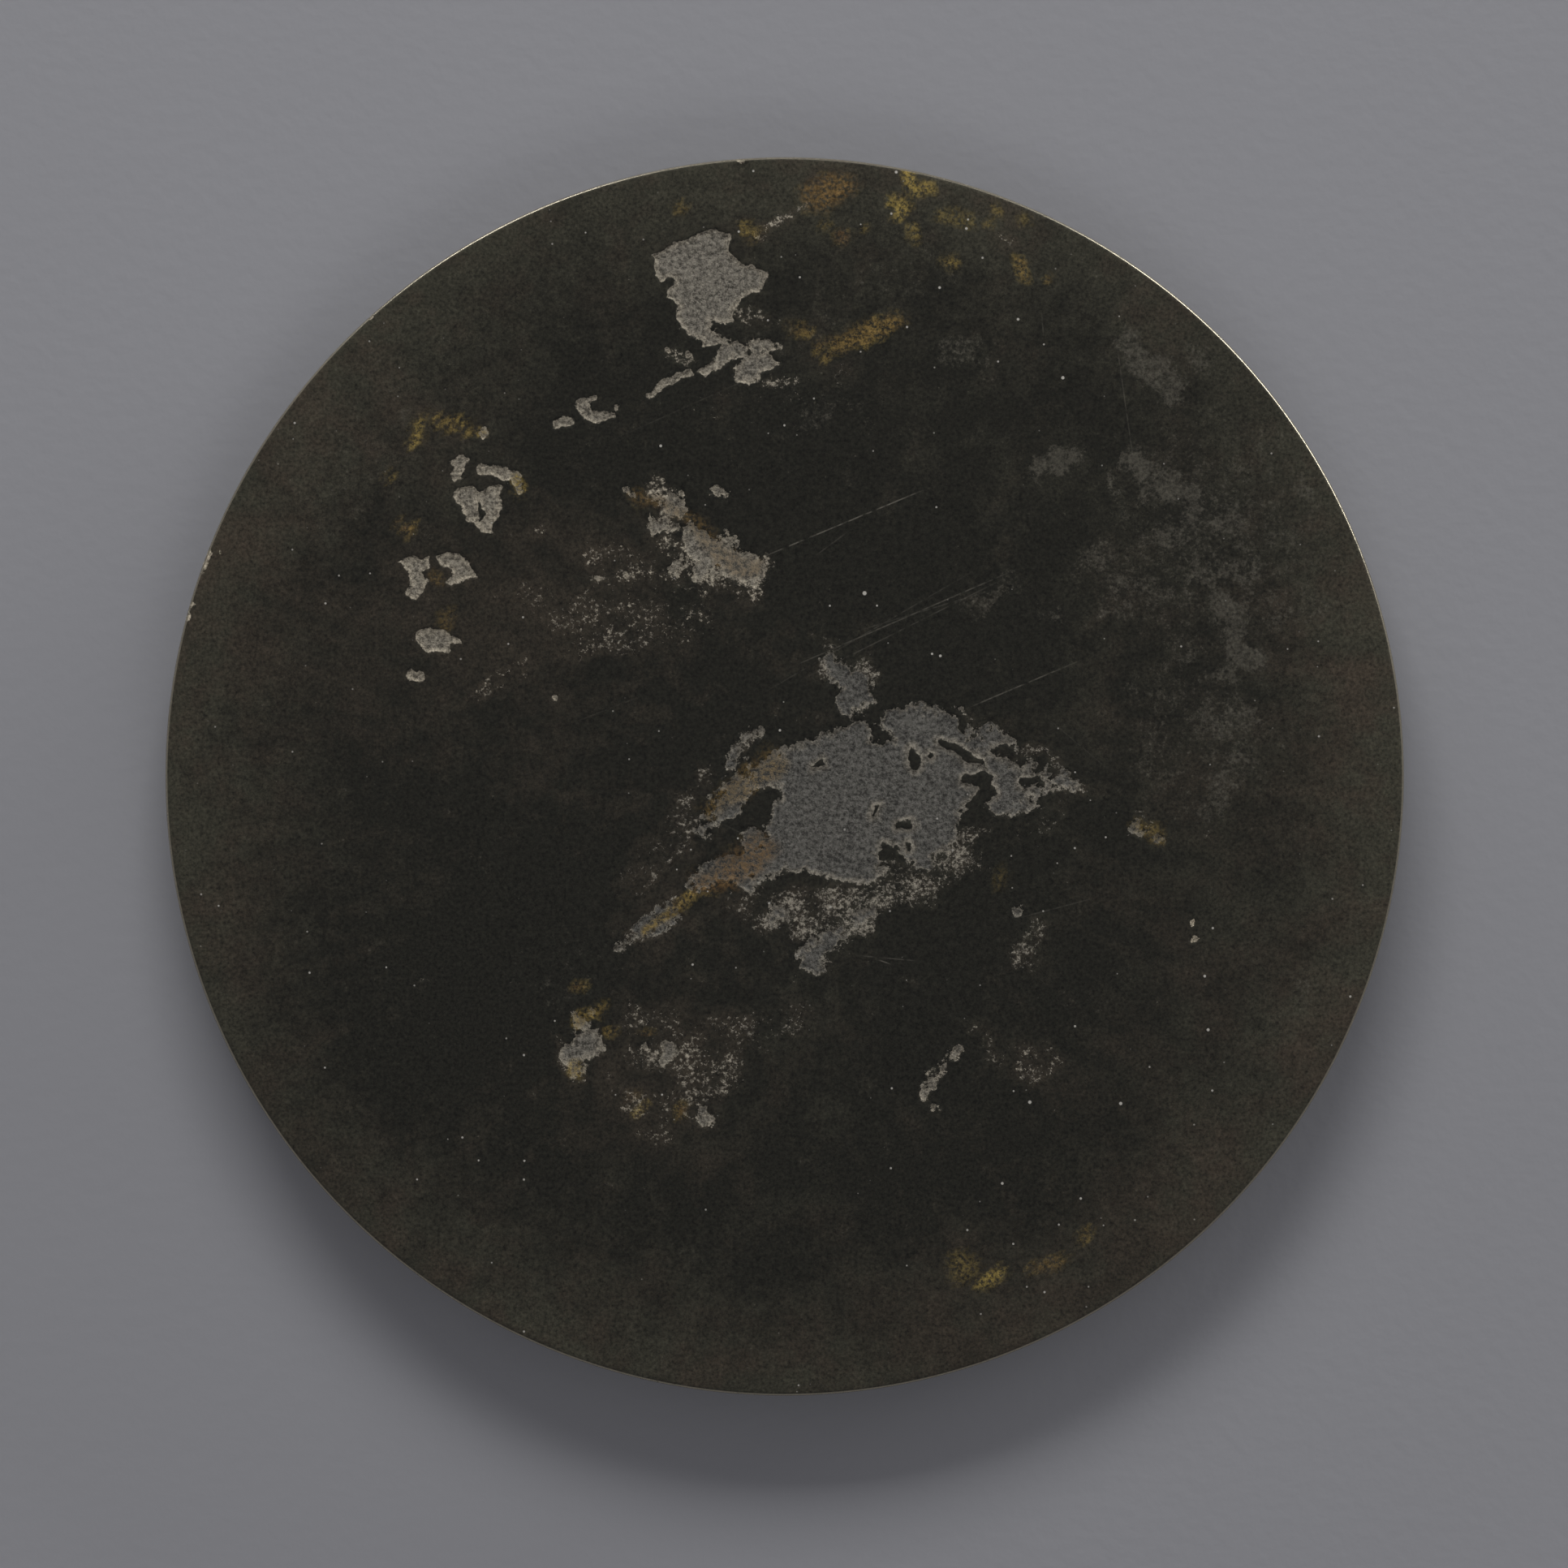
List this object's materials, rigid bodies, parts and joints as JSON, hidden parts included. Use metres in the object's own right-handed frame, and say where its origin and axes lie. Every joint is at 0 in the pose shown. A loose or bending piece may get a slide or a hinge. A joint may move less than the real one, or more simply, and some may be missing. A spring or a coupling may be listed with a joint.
{
  "type": "bronze mirror",
  "caption": "Round cast bronze mirror lying face up on its tall rim, with a slightly domed dark face and a pierced cord knob behind.",
  "frame": {"origin": "centre of the disc on the surface that the rim rests on", "axes": "+Z out of the polished face, along the disc's axis; +X along the knob's cord hole; +Y to the top of the face as it is shown"},
  "size_m": [0.18, 0.18, 0.0109],
  "materials": {
    "patinated_bronze": "high-tin bronze with a smooth brown-black patina, worn satin, flaked in patches to a matt grey grain"
  },
  "bodies": {
    "root": {"mirror": "patinated_bronze"}
  },
  "joints": []
}
